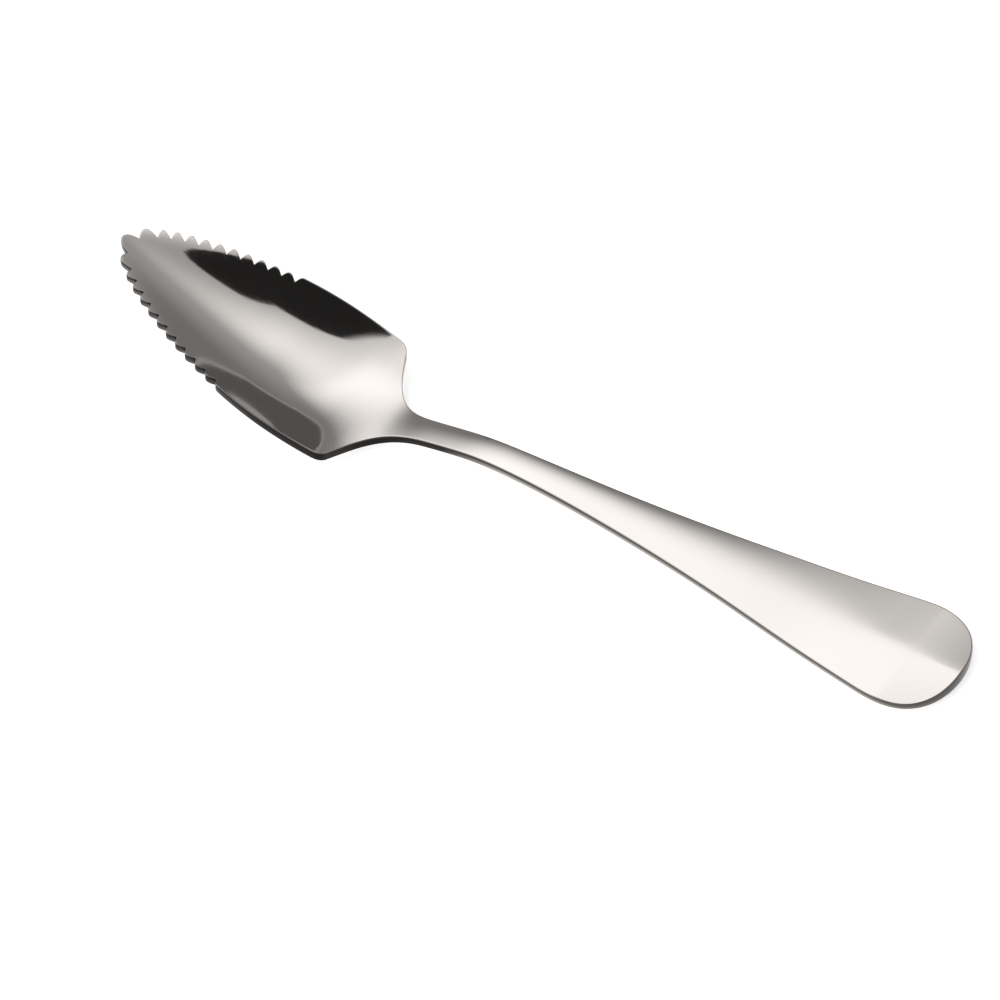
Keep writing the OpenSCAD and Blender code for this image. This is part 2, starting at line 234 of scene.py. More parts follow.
class SpoonShape:
    """Rules of the outline, the side view and the cross-section, in metres from the tip."""

    def __init__(self, size):
        self.size = size
        self.handle_t = size.handle_edge_t + size.crown_h + size.under_crown_h
        self.round_x = size.spoon_l - size.end_l
        self.straight_x = size.neck_l + STRAIGHT_SHARE * (self.round_x - size.neck_l)
        flare_run = self.straight_x - size.neck_l + 2 * (self.round_x - self.straight_x)
        self.flare_rate = (size.handle_w - size.neck_w) / flare_run
        self.full_lift = math.hypot(size.heel_l, size.heel_bend_l) - size.heel_bend_l
        self.spine_x, self.spine_h, self.spine_slope = self.spine_spline()

    # Plan outline: half widths
    def nose_half(self, x):
        q = x / self.size.bowl_wide_l
        full = (q * (NOSE_FULLNESS + 1) - q ** (NOSE_FULLNESS + 1)) / NOSE_FULLNESS
        return self.size.bowl_w / 2 * np.sqrt(np.maximum(0, full))

    def side_half(self, x):
        size = self.size
        back = (x - size.bowl_wide_l) / (size.bowl_l - size.bowl_wide_l)
        return size.bowl_w / 2 - (size.bowl_w - size.shoulder_w) / 2 * back ** 2

    def shoulder_half(self, x):
        size = self.size
        left = 1 - np.clip((x - size.bowl_l) / (size.neck_l - size.bowl_l), 0, 1)
        return size.neck_w / 2 + (size.shoulder_w - size.neck_w) / 2 * left ** SHOULDER_SWEEP

    def bowl_half(self, x):
        nose = self.nose_half(np.minimum(x, self.size.bowl_wide_l))
        sides = [x < self.size.bowl_wide_l, x < self.size.bowl_l]
        return np.select(sides, [nose, self.side_half(x)], self.shoulder_half(x))

    def flare_half(self, x):
        run = self.straight_x - self.size.neck_l
        past = np.maximum(0, x - self.size.neck_l)
        flare = np.where(past < run, past ** 2 / (2 * run), past - run / 2)
        return self.size.neck_w / 2 + self.flare_rate * flare

    def handle_half(self, x):
        share = np.clip((x - self.round_x) / self.size.end_l, 0, 1)
        return self.flare_half(x) * np.sqrt(1 - share ** END_SQUARENESS)

    # Side view: height of the top face on the middle line, and of the rim
    def keel(self, x):
        size = self.size
        lift = np.hypot(size.heel_l - x, size.heel_bend_l) - size.heel_bend_l
        return size.heel_t + (size.tip_h - size.heel_t) * lift / self.full_lift

    def keel_slope(self, x):
        size = self.size
        left = np.maximum(0, size.heel_l - x)
        return -(size.tip_h - size.heel_t) / self.full_lift * left / np.hypot(left, size.heel_bend_l)

    def spine_spline(self):
        """Places, heights and slopes of one curve from the heel over the crest to the handle's end."""
        size = self.size
        rise = [(size.heel_l + (size.crest_l - size.heel_l) * s,
                 size.heel_t + (size.crest_h - size.heel_t) * h) for s, h in RISE_SHARES]
        fall = [(size.crest_l + (size.spoon_l - size.crest_l) * s,
                 size.crest_h + (self.handle_t - size.crest_h) * h) for s, h in FALL_SHARES]
        x, h = np.array(rise + fall).T
        run = np.diff(x)
        rate = np.diff(h) / run
        count = len(x)
        sums = np.zeros((count, count))
        goal = np.zeros(count)
        sums[0, 0] = 1
        for i in range(1, count - 1):
            sums[i, i - 1:i + 2] = run[i], 2 * (run[i - 1] + run[i]), run[i - 1]
            goal[i] = 3 * (run[i] * rate[i - 1] + run[i - 1] * rate[i])
        sums[-1, -2:] = 1, 2
        goal[-1] = 3 * rate[-1]
        return x, h, np.linalg.solve(sums, goal)

    def spine_z(self, x):
        places, heights, slopes = self.spine_x, self.spine_h, self.spine_slope
        i = np.clip(np.searchsorted(places, x) - 1, 0, len(places) - 2)
        run = places[i + 1] - places[i]
        u = (x - places[i]) / run
        rise = heights[i + 1] - heights[i]
        curve = (heights[i] + rise * u * u * (3 - 2 * u)
                 + run * u * (1 - u) * (slopes[i] * (1 - u) - slopes[i + 1] * u))
        return np.where(x < places[0], self.keel(x), curve)

    def rim_z(self, x):
        size = self.size
        back = x / size.bowl_l
        return size.tip_h + (size.shoulder_h - size.tip_h) * back - 4 * size.rim_sag_h * back * (1 - back)

    # Cross-section: the bowl is a trough whose sides ease off at the rim, the handle is a low roof
    def trough_depth(self, x):
        size = self.size
        at = np.clip(x, size.edge_round, size.bowl_l)
        fall = (size.shoulder_h - size.tip_h + 4 * size.rim_sag_h) / size.bowl_l
        run_on = size.run_on_l * (1 - np.exp(-np.maximum(0, x - size.bowl_l) / size.run_on_l))
        return self.rim_z(at) - self.spine_z(at) + fall * run_on

    def trough_share(self, x, y):
        """Height of the trough's side as a share of its depth, and how fast that grows across the bowl."""
        at = np.clip(x, self.size.edge_round, self.size.bowl_l)
        half = self.bowl_half(at)
        out = np.abs(y) / half
        ahead = (1 - at / self.size.bowl_l) ** LIP_POWER
        lip = LIP_SHARES[1] + (LIP_SHARES[0] - LIP_SHARES[1]) * ahead
        return (1 + lip) * out ** 2 - lip * out ** 4, (2 * (1 + lip) * out - 4 * lip * out ** 3) / half

    def handle_part(self, x):
        blend_l = NECK_BLEND_SHARE * (self.size.neck_l - self.size.bowl_l)
        u = np.clip((x - self.size.bowl_l) / blend_l, 0, 1)
        return u * u * (3 - 2 * u)

    def along_handle(self, x):
        return np.clip((x - self.size.neck_l) / (self.round_x - self.size.neck_l), 0, 1)

    def crown(self, x):
        """Rise of the handle's top face from its edges to its middle, and how round its ridge is."""
        size = self.size
        along = self.along_handle(x)
        return (size.neck_crown_h + (size.crown_h - size.neck_crown_h) * along,
                RIDGE_SHARES[0] + (RIDGE_SHARES[1] - RIDGE_SHARES[0]) * along)

    def crown_fall(self, x, y):
        rise, ridge = self.crown(x)
        out = y / self.flare_half(x)
        return rise * (np.hypot(out, ridge) - ridge) / (np.hypot(1, ridge) - ridge)

    def end_roll(self, x, y):
        """Extra fall of the round end's two slopes, from a faint crease across the handle on."""
        past = (x - self.size.spoon_l) / (END_ROLL_SHARE * self.size.end_l) + 1
        return END_ROLL * np.abs(y) * np.clip(past, 0, 1)

    def top_z(self, x, y):
        trough = self.trough_depth(x) * self.trough_share(x, y)[0]
        roof = self.spine_z(x) - self.end_roll(x, y)
        return roof + trough - (trough + self.crown_fall(x, y)) * self.handle_part(x)

    def thickness(self, x, y):
        size = self.size
        side_slope = self.trough_depth(x) * self.trough_share(x, y)[1]
        sheet_t = size.bowl_t + (size.heel_t - size.bowl_t) * np.clip(x / size.heel_l, 0, 1) ** 2
        sheet = sheet_t * np.sqrt(1 + self.keel_slope(x) ** 2 + side_slope ** 2)
        rise = self.crown(x)[0]
        edge = size.neck_edge_t + (size.handle_edge_t - size.neck_edge_t) * self.along_handle(x)
        half = self.flare_half(x)
        inside = np.clip(y, -half, half)
        belly = (self.handle_t - edge - rise) * (1 - (inside / half) ** 2)
        bar = edge + rise - self.crown_fall(x, inside) - self.end_roll(x, y) + belly
        u = np.clip((x - size.bowl_l) / (size.neck_l - size.bowl_l), 0, 1)
        return sheet + (bar - sheet) * u * u * (3 - 2 * u)


def rim_rows(shape, teeth):
    """Rows of the blank from the tip round to the handle's end: x and y of the rim, x of the row's end on the
    middle line, distance along the serrated rim, and the direction in which the teeth are cut there."""
    size = shape.size
    nose_x = size.bowl_wide_l * np.linspace(0, 1, NOSE_STEPS) ** 2
    nose_y = shape.nose_half(nose_x)
    nose_run = np.concatenate(([0], np.cumsum(np.hypot(np.diff(nose_x), np.diff(nose_y)))))
    lead_end = teeth.tip_w / 2 + teeth.lead_w
    gullets = [teeth.tip_w / 2, *(lead_end + teeth.pitch * k for k in range(teeth.count))]
    out_end = gullets[-1] + teeth.pitch / 2
    runs = [gullets[0] * np.sin(math.pi / 2 * np.arange(TIP_STEPS) / TIP_STEPS)]
    wave = (1 - np.cos(math.pi * np.arange(TOOTH_STEPS) / TOOTH_STEPS)) / 2
    runs += [start + (end - start) * wave for start, end in zip(gullets, gullets[1:])]
    runs.append(gullets[-1] + (out_end - gullets[-1]) * (np.arange(RUN_OUT_STEPS) / RUN_OUT_STEPS) ** 2)
    run = np.concatenate(runs)
    tooth_x = np.interp(run, nose_run, nose_x)
    ahead = size.bowl_w ** 2 / 8 * (NOSE_FULLNESS + 1) / NOSE_FULLNESS / size.bowl_wide_l
    cut_x = ahead * (1 - (tooth_x / size.bowl_wide_l) ** NOSE_FULLNESS)
    tooth_y = shape.nose_half(tooth_x)
    cut = np.stack((cut_x, -tooth_y)) / np.hypot(cut_x, tooth_y)

    smooth_start = np.interp(out_end, nose_run, nose_x)
    corner_start = size.bowl_l - size.corner_l
    corner_end = size.bowl_l + CORNER_IN_SHARE * size.corner_l
    smooth_x = smooth_start + (corner_start - smooth_start) * np.arange(RIM_STEPS) / RIM_STEPS
    u = np.arange(CORNER_STEPS) / CORNER_STEPS
    knots = np.array([corner_start, size.bowl_l, corner_end])
    halves = shape.bowl_half(knots)
    corner_x, corner_y = (p[0] * (1 - u) ** 2 + 2 * p[1] * u * (1 - u) + p[2] * u ** 2 for p in (knots, halves))
    shoulder_share = (np.arange(SHOULDER_STEPS) / SHOULDER_STEPS) ** SHOULDER_CROWDING
    shoulder_x = corner_end + (size.neck_l - corner_end) * shoulder_share
    side_x = size.neck_l + (shape.round_x - size.neck_l) * np.arange(SIDE_STEPS) / SIDE_STEPS
    end_x = shape.round_x + size.end_l * np.sin(math.pi / 2 * np.arange(END_STEPS + 1) / END_STEPS)

    bowl_x = np.concatenate((tooth_x, smooth_x, corner_x))
    bowl_hub = bowl_x + TIP_FAN_SHARE * size.bowl_l * np.maximum(0, 1 - bowl_x / size.bowl_l) ** 2
    end_hub = end_x - END_FAN_SHARE * size.end_l * ((end_x - shape.round_x) / size.end_l) ** 2
    rim_x = np.concatenate((bowl_x, shoulder_x, side_x, end_x))
    rim_y = np.concatenate((tooth_y, shape.bowl_half(smooth_x), corner_y, shape.bowl_half(shoulder_x),
                            shape.handle_half(side_x), shape.handle_half(end_x)))
    hub_x = np.concatenate((bowl_hub, shoulder_x, side_x, end_hub))
    rest = len(rim_x) - len(run)
    rim_run = np.concatenate((run, np.full(rest, out_end)))
    cut = np.concatenate((cut, np.zeros((2, rest))), axis=1)
    return rim_x, rim_y, hub_x, rim_run, cut


def flat_blank(shape, teeth):
    """Mesh object of the flat blank, closed, with the marks that the punch and the press read, and the mask of the
    painted dark edge reflection that the steel reads.
    """
    size = shape.size
    rim_x, rim_y, hub_x, rim_run, cut = rim_rows(shape, teeth)
    reach = np.hypot(hub_x - rim_x, rim_y)
    turn = math.pi / 2 * np.arange(EDGE_STEPS + 1) / EDGE_STEPS
    edge_in = size.edge_round * (1 - np.sin(turn))
    edge_off = size.edge_round * (1 - np.cos(turn))
    ring = (np.arange(RING_STEPS, 0, -1) / RING_STEPS) ** RING_CROWDING
    inner = EDGE_STRIP * size.edge_round
    share = [inner / reach + (1 - inner / reach) * r for r in ring]
    share = np.array([*share, inner / reach, *(d / reach for d in edge_in)])
    off = np.concatenate((np.zeros(RING_STEPS + 1), edge_off))
    share = np.concatenate((share, share[::-1]))
    off = np.concatenate((off, off[::-1]))
    across, along = share.shape
    under = np.repeat((0, 1), across // 2)

    x = rim_x + (hub_x - rim_x) * share
    y = rim_y * (1 - share)
    y[[0, -1]] = 0
    places = (0, size.bowl_wide_l, size.neck_l, size.crest_l, shape.round_x, size.spoon_l)
    # Mask of the painted dark reflection: 1 at the rim, fading to 0 one edge radius in, and weaker on the underside
    # at places along the spoon
    fade = np.interp(rim_x, places, UNDER_REFLECTION_PAINT)
    reflection_painted = np.maximum(0, 1 - share * reach / size.edge_round) * np.where(under[:, None] > 0, fade, 1)
    marks = {
        "rim_run": np.broadcast_to(rim_run, x.shape),
        "rim_pull": 1 - share,
        "under": np.broadcast_to(under[:, None], x.shape),
        "round_off": np.broadcast_to(off[:, None], x.shape),
        "cut_x": np.broadcast_to(cut[0], x.shape),
        "cut_y": np.broadcast_to(cut[1], x.shape),
        "reflection_painted": reflection_painted,
    }
    z = np.where(marks["under"] > 0, marks["round_off"] - size.bowl_t, -marks["round_off"])
    count = x.size
    index = np.arange(count).reshape(x.shape)
    middle = np.zeros(x.shape, bool)
    middle[:, [0, -1]] = True
    middle[[0, -1]] = True
    other = np.where(middle, index, index + count)
    faces = []
    for side in (index[::-1], other):
        quads = np.stack((side[:-1, :-1], side[1:, :-1], side[1:, 1:], side[:-1, 1:]), axis=-1)
        faces.append(quads.reshape(-1, 4))
    faces = np.concatenate(faces)
    used = np.unique(faces)
    place = np.full(2 * count, -1)
    place[used] = np.arange(len(used))

    def both(values, flip=1):
        return np.concatenate((values.ravel(), flip * values.ravel()))[used]

    points = np.stack((both(x), both(y, -1), both(z)), axis=1)
    mesh = bpy.data.meshes.new("spoon")
    mesh.from_pydata(points.tolist(), [], place[faces].tolist())
    for name, values in marks.items():
        layer = mesh.attributes.new(name, "FLOAT", "POINT")
        layer.data.foreach_set("value", both(values, -1 if name == "cut_y" else 1).astype(np.float32))
    blank = bpy.data.objects.new("spoon", mesh)
    bpy.context.scene.collection.objects.link(blank)
    return blank


def add_node(tree, kind, links=None, **settings):
    """A new node with its settings, and a link or a value for each input that is named."""
    node = tree.nodes.new(kind)
    for name, value in settings.items():
        setattr(node, name, value)
    for name, value in (links or {}).items():
        if isinstance(value, bpy.types.NodeSocket):
            tree.links.new(value, node.inputs[name])
        else:
            node.inputs[name].default_value = value
    return node


def punch_tree():
    """Geometry Nodes that cut the teeth: the rim is drawn inwards, in a wave that follows its own length."""
    tree = bpy.data.node_groups.new("Punched teeth", "GeometryNodeTree")
    tree.is_modifier = True
    face = tree.interface
    face.new_socket("Geometry", in_out="INPUT", socket_type="NodeSocketGeometry")
    for name in ("Tip tooth", "Lead teeth", "Spacing", "Depth", "Last depth", "Set back", "Roundness"):
        face.new_socket(name, in_out="INPUT", socket_type="NodeSocketFloat")
    face.new_socket("Teeth", in_out="INPUT", socket_type="NodeSocketInt")
    face.new_socket("Steel", in_out="INPUT", socket_type="NodeSocketMaterial")
    face.new_socket("Geometry", in_out="OUTPUT", socket_type="NodeSocketGeometry")
    given = add_node(tree, "NodeGroupInput").outputs
    mark = {name: add_node(tree, "GeometryNodeInputNamedAttribute", {"Name": name}, data_type="FLOAT").outputs[0]
            for name in ("rim_run", "rim_pull", "cut_x", "cut_y")}
    run = mark["rim_run"]

    # Where the tip tooth, the lead tooth, the row of teeth and the run-out end along the rim
    tip_end = add_node(tree, "ShaderNodeMath", {0: given["Tip tooth"], 1: 0.5}, operation="MULTIPLY").outputs[0]
    lead_end = add_node(tree, "ShaderNodeMath", {0: tip_end, 1: given["Lead teeth"]}, operation="ADD").outputs[0]
    like = add_node(tree, "ShaderNodeMath", {0: given["Teeth"], 1: 1}, operation="SUBTRACT").outputs[0]
    row_end = add_node(tree, "ShaderNodeMath", {0: like, 1: given["Spacing"], 2: lead_end},
                       operation="MULTIPLY_ADD").outputs[0]
    out_end = add_node(tree, "ShaderNodeMath", {0: given["Spacing"], 1: 0.5, 2: row_end},
                       operation="MULTIPLY_ADD").outputs[0]
    row_waves = add_node(tree, "ShaderNodeMath", {0: like, 1: 2}, operation="MULTIPLY").outputs[0]

    # Half waves passed at each point: odd at the point of a tooth, even in a gullet
    tip = add_node(tree, "ShaderNodeMapRange", {0: run, 1: 0, 2: tip_end, 3: 1, 4: 2}).outputs[0]
    lead = add_node(tree, "ShaderNodeMapRange", {0: run, 1: tip_end, 2: lead_end, 3: 0, 4: 2}).outputs[0]
    row = add_node(tree, "ShaderNodeMapRange", {0: run, 1: lead_end, 2: row_end, 3: 0, 4: row_waves}).outputs[0]
    out = add_node(tree, "ShaderNodeMapRange", {0: run, 1: row_end, 2: out_end, 3: 0, 4: 1}).outputs[0]
    front = add_node(tree, "ShaderNodeMath", {0: tip, 1: lead}, operation="ADD").outputs[0]
    back = add_node(tree, "ShaderNodeMath", {0: row, 1: out}, operation="ADD").outputs[0]
    waves = add_node(tree, "ShaderNodeMath", {0: front, 1: back}, operation="ADD").outputs[0]
    wave = add_node(tree, "ShaderNodeMath", {0: waves, 1: 1}, operation="PINGPONG").outputs[0]

    # Depth of the cut: a round-topped tooth over a narrow gullet, shallower along the row
    turn = add_node(tree, "ShaderNodeMath", {0: wave, 1: math.pi / 2}, operation="MULTIPLY").outputs[0]
    rise = add_node(tree, "ShaderNodeMath", {0: turn}, operation="SINE").outputs[0]
    tooth = add_node(tree, "ShaderNodeMath", {0: rise, 1: given["Roundness"]}, operation="POWER").outputs[0]
    notch = add_node(tree, "ShaderNodeMath", {0: 1, 1: tooth}, operation="SUBTRACT").outputs[0]
    depth = add_node(tree, "ShaderNodeMapRange",
                     {0: run, 1: 0, 2: row_end, 3: given["Depth"], 4: given["Last depth"]}).outputs[0]
    set_in = add_node(tree, "ShaderNodeMapRange", {0: run, 1: 0, 2: tip_end, 3: 0, 4: given["Set back"]}).outputs[0]
    set_out = add_node(tree, "ShaderNodeMapRange", {0: run, 1: row_end, 2: out_end, 3: 1, 4: 0}).outputs[0]
    set_back = add_node(tree, "ShaderNodeMath", {0: set_in, 1: set_out}, operation="MULTIPLY").outputs[0]
    inset = add_node(tree, "ShaderNodeMath", {0: depth, 1: notch, 2: set_back}, operation="MULTIPLY_ADD").outputs[0]

    # The cut fades out towards the middle line, so that the mesh follows the teeth evenly
    pull = add_node(tree, "ShaderNodeMath", {0: inset, 1: mark["rim_pull"]}, operation="MULTIPLY").outputs[0]
    line = add_node(tree, "ShaderNodeCombineXYZ", {0: mark["cut_x"], 1: mark["cut_y"]}).outputs[0]
    move = add_node(tree, "ShaderNodeVectorMath", {0: line, "Scale": pull}, operation="SCALE").outputs[0]
    punched = add_node(tree, "GeometryNodeSetPosition", {"Geometry": given["Geometry"], "Offset": move}).outputs[0]
    real = add_node(tree, "GeometryNodeRealizeInstances", {"Geometry": punched}).outputs[0]
    steel = add_node(tree, "GeometryNodeSetMaterial", {"Geometry": real, "Material": given["Steel"]}).outputs[0]
    add_node(tree, "NodeGroupOutput", {"Geometry": steel})
    return tree


def punch_teeth(blank, teeth, steel):
    """Cut the teeth in the flat blank and leave it a plain mesh."""
    tree = punch_tree()
    values = {
        "Tip tooth": teeth.tip_w, "Lead teeth": teeth.lead_w, "Spacing": teeth.pitch, "Teeth": teeth.count,
        "Depth": teeth.depth, "Last depth": teeth.last_depth, "Set back": teeth.setback,
        "Roundness": teeth.roundness, "Steel": steel,
    }
    punch = blank.modifiers.new("Punched teeth", "NODES")
    punch.node_group = tree
    for item in tree.interface.items_tree:
        if item.in_out == "INPUT" and item.name in values:
            punch[item.identifier] = values[item.name]
    flat = blank.data
    seen = blank.evaluated_get(bpy.context.evaluated_depsgraph_get())
    blank.data = bpy.data.meshes.new_from_object(seen)
    blank.modifiers.remove(punch)
    bpy.data.meshes.remove(flat)
    blank.data.name = blank.name


def press(blank, shape):
    """Press the punched blank: its two skins take the heights of the trough, the neck and the crowned handle."""
    mesh = blank.data
    count = len(mesh.vertices)

    def mark(name):
        values = np.zeros(count, np.float32)
        mesh.attributes[name].data.foreach_get("value", values)
        return values.astype(float)

    points = np.zeros(3 * count)
    mesh.vertices.foreach_get("co", points)
    x, y = points.reshape(-1, 3).T[:2]
    top = shape.top_z(x, y)
    off = mark("round_off")
    height = np.where(mark("under") > 0.5, top - shape.thickness(x, y) + off, top - off)
    mesh.vertices.foreach_set("co", np.stack((x + CAD_LOW.x, y, height), axis=1).ravel())
    for name in ("rim_run", "rim_pull", "under", "round_off", "cut_x", "cut_y"):
        mesh.attributes.remove(mesh.attributes[name])
    mesh.polygons.foreach_set("use_smooth", np.ones(len(mesh.polygons), bool))
    mesh.update()


def new_material(name):
    """A new material, and its node tree without nodes."""
    material = bpy.data.materials.new(name)
    material.use_nodes = True
    material.node_tree.nodes.clear()
    return material, material.node_tree


# Fine polishing lines: detail of their pattern, and the strength and height of their relief
LINE_DETAIL = 3
LINE_ROUGHNESS = 0.6
RELIEF_STRENGTH = 0.03
RELIEF_H = 0.05 * MM
# Faint clouds in the polish, one in about 11 mm
CLOUDS_PER_METRE = 90
CLOUD_DETAIL = 2
# Range of lines and clouds together that counts, and the blur at both ends as shares of the roughness
WEAR_RANGE = (0.1, 0.45)
BLUR_SHARES = (0.6, 1.6)


def polished_steel(finish):
    """Stainless steel, buffed nearly to a mirror: the eye sees the studio in it, a little blurred across the buffing
    lines. The edges carry a painted dark reflection, nearly black at the tip and mid-grey at the handle's end."""
    steel, tree = new_material("polished stainless steel")
    place = add_node(tree, "ShaderNodeTexCoord").outputs["Object"]
    stretch = (1 / finish.line_l, 1 / finish.line_gap, 1 / finish.line_gap)
    lined = add_node(tree, "ShaderNodeVectorMath", {0: place, 1: stretch}, operation="MULTIPLY").outputs[0]
    lines = add_node(tree, "ShaderNodeTexNoise", {"Vector": lined, "Scale": 1, "Detail": LINE_DETAIL,
                                                  "Roughness": LINE_ROUGHNESS}).outputs[0]
    cloud = add_node(tree, "ShaderNodeTexNoise", {"Vector": place, "Scale": CLOUDS_PER_METRE,
                                                  "Detail": CLOUD_DETAIL}).outputs[0]
    worn = add_node(tree, "ShaderNodeMath", {0: lines, 1: cloud}, operation="MULTIPLY").outputs[0]
    sharp, dull = (share * finish.roughness for share in BLUR_SHARES)
    blur = add_node(tree, "ShaderNodeMapRange",
                    {0: worn, 1: WEAR_RANGE[0], 2: WEAR_RANGE[1], 3: sharp, 4: dull}).outputs[0]
    # Painted dark reflection on the edges: where the mask is set, the steel's colour goes to a dark colour that runs
    # from nearly black at the tip to mid-grey at the handle's end
    reflection_painted = add_node(tree, "ShaderNodeAttribute", attribute_name="reflection_painted").outputs["Fac"]
    along = add_node(tree, "ShaderNodeSeparateXYZ", {0: place}).outputs["X"]
    ahead = add_node(tree, "ShaderNodeMapRange", {0: along, 1: 0, 2: CAD_HIGH.x}).outputs[0]
    edge = add_node(tree, "ShaderNodeMix", {"Factor": ahead, 6: finish.edge_reflection_colour, 7: finish.end_reflection_colour},
                    data_type="RGBA").outputs[2]
    colour = add_node(tree, "ShaderNodeMix", {"Factor": reflection_painted, 6: finish.colour, 7: edge},
                      data_type="RGBA").outputs[2]
    bump = add_node(tree, "ShaderNodeBump",
                    {"Strength": RELIEF_STRENGTH, "Distance": RELIEF_H, "Height": lines}).outputs[0]
    shader = add_node(tree, "ShaderNodeBsdfPrincipled",
                      {"Base Color": colour, "Metallic": 1, "Roughness": blur, "Normal": bump}).outputs[0]
    add_node(tree, "ShaderNodeOutputMaterial", {"Surface": shader})
    return steel


class SPOON_OT_press(bpy.types.Operator):
    """Punch the teeth in a flat blank and press it into the spoon"""

    bl_idname = "spoon.press"
    bl_label = "Press the spoon"

    def execute(self, context):
        scene = context.scene
        shape = SpoonShape(scene.spoon_blank)
        blank = flat_blank(shape, scene.spoon_teeth)
        punch_teeth(blank, scene.spoon_teeth, polished_steel(scene.spoon_finish))
        press(blank, shape)
        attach(blank, "root")
        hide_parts("bowl", "handle")
        return {"FINISHED"}


# Scale of the photograph at the spoon, the pixel in which the frame's origin lies, and the sensor in millimetres
PIXELS_PER_METRE = 6356.5
ORIGIN_PIXEL = (540.3, 494.3)
IMAGE_SIZE = 1000
SENSOR = 36
SOFTBOX_STEPS = 64
PAPER_COLOUR = "#efefef"
TENT_COLOUR = "#ffffff"
# Where the near side of the tent starts to grow lighter and where it is lightest, as the Y of a direction
NEAR_SIDE = (-0.35, -0.85)
# Corners of the dark opening as shares of its height over the table, beside the spoon's middle
OPENING_SHARES = ((-0.045, -0.096), (0.085, -0.103), (0.35, -0.113), (0.39, -0.046), (0.43, 0.006), (0.54, 0.068),
                  (0.62, 0.075), (0.68, -0.1), (0.5, -0.34), (0.2, -0.5), (-0.2, -0.5))
# Soft side of the opening, where the cloth is thin: where its fade starts and ends, as shares of its height
OPENING_FADE = (0.01, 0.11)
# How far that side leans, and the radiance of the cloth
OPENING_SLANT = -0.5
CLOTH_LEVEL = 0.0176
# Corners of the grey board that stands on the far side, as shares of its distance
BOARD_SHARES = ((0.03, 0.11), (0.03, 0.19), (0.011, 0.32), (-0.067, 0.4), (-0.187, 0.5), (-0.315, 0.57),
                (-0.7, 0.7), (-0.7, 0.11))
BOARD_LEVEL = 0.11
# The frame's radiance, and how far it stands behind the board in metres
FRAME_LEVEL = 0.37
FRAME_GAP = 0.01


def place_camera(studio):
    """The photograph's view: a long lens over the near side of the handle."""
    a, e, r = studio.azimuth, studio.elevation, studio.roll
    back = Vector((math.sin(a) * math.cos(e), -math.cos(a) * math.cos(e), math.sin(e)))
    level = Vector((math.cos(a), math.sin(a), 0))
    rise = back.cross(level)
    right = level * math.cos(r) + rise * math.sin(r)
    up = back.cross(right)
    data = bpy.data.cameras.new("camera")
    data.lens = studio.lens
    data.sensor_width = SENSOR
    camera = bpy.data.objects.new("camera", data)
    bpy.context.scene.collection.objects.link(camera)
    offset_x, offset_y = ((p - IMAGE_SIZE / 2) / PIXELS_PER_METRE for p in ORIGIN_PIXEL)
    aim = up * offset_y - right * offset_x
    distance = studio.lens / SENSOR * IMAGE_SIZE / PIXELS_PER_METRE
    turn = Matrix((right, up, back)).transposed()
    camera.matrix_world = Matrix.Translation(aim + back * distance) @ turn.to_4x4()
    bpy.context.scene.camera = camera


def stage_object(name, points, material, visible=True):
    """A flat card or floor of the studio, which isn't part of the spoon."""
    mesh = bpy.data.meshes.new(name)
    mesh.from_pydata(points, [], [range(len(points))])
    mesh.materials.append(material)
    card = bpy.data.objects.new(name, mesh)
    card.visible_camera = visible
    bpy.context.scene.collection.objects.link(card)
    return card


def softbox(name, azimuth, elevation, turn, width, height, level, distance):
    """An oval softbox that faces the spoon and fades towards its edge: light added to what lies behind it."""
    material, tree = new_material(name)
    place = add_node(tree, "ShaderNodeTexCoord").outputs["Object"]
    out = add_node(tree, "ShaderNodeVectorMath", {0: place}, operation="LENGTH").outputs["Value"]
    fade = add_node(tree, "ShaderNodeMapRange", {0: out, 1: 0, 2: 1, 3: level, 4: 0},
                    interpolation_type="SMOOTHSTEP").outputs[0]
    glow = add_node(tree, "ShaderNodeEmission", {"Strength": fade}).outputs[0]
    clear = add_node(tree, "ShaderNodeBsdfTransparent").outputs[0]
    both = add_node(tree, "ShaderNodeAddShader", {0: glow, 1: clear}).outputs[0]
    add_node(tree, "ShaderNodeOutputMaterial", {"Surface": both})
    rim = [2 * math.pi * i / SOFTBOX_STEPS for i in range(SOFTBOX_STEPS)]
    card = stage_object(name, [(math.cos(a), math.sin(a), 0) for a in rim], material, visible=False)
    towards = Vector((math.cos(azimuth) * math.cos(elevation), math.sin(azimuth) * math.cos(elevation),
                      math.sin(elevation)))
    level_axis = Vector((-math.sin(azimuth), math.cos(azimuth), 0))
    steep_axis = towards.cross(level_axis)
    wide = level_axis * math.cos(turn) + steep_axis * math.sin(turn)
    high = towards.cross(wide)
    turned = Matrix((wide * width / 2, high * height / 2, towards)).transposed().to_4x4()
    card.matrix_world = Matrix.Translation(towards * distance) @ turned


def white_floor(studio):
    """White paper sweep: it catches the spoon's soft shadow and burns out to white in view."""
    material, tree = new_material("white paper")
    paper = add_node(tree, "ShaderNodeBsdfDiffuse", {"Color": linear(PAPER_COLOUR)}).outputs[0]
    ray = add_node(tree, "ShaderNodeLightPath").outputs
    seen = add_node(tree, "ShaderNodeMath", {0: ray["Is Camera Ray"], 1: ray["Is Glossy Ray"]},
                    operation="MAXIMUM").outputs[0]
    seen = add_node(tree, "ShaderNodeMath", {0: seen, 1: ray["Is Transmission Ray"]}, operation="MAXIMUM").outputs[0]
    lift = add_node(tree, "ShaderNodeMath", {0: seen, 1: studio.floor_lift}, operation="MULTIPLY").outputs[0]
    glow = add_node(tree, "ShaderNodeEmission", {"Strength": lift}).outputs[0]
    both = add_node(tree, "ShaderNodeAddShader", {0: paper, 1: glow}).outputs[0]
    add_node(tree, "ShaderNodeOutputMaterial", {"Surface": both})
    half = studio.floor_w / 2
    stage_object("floor", [(-half, -half, 0), (half, -half, 0), (half, half, 0), (-half, half, 0)], material)


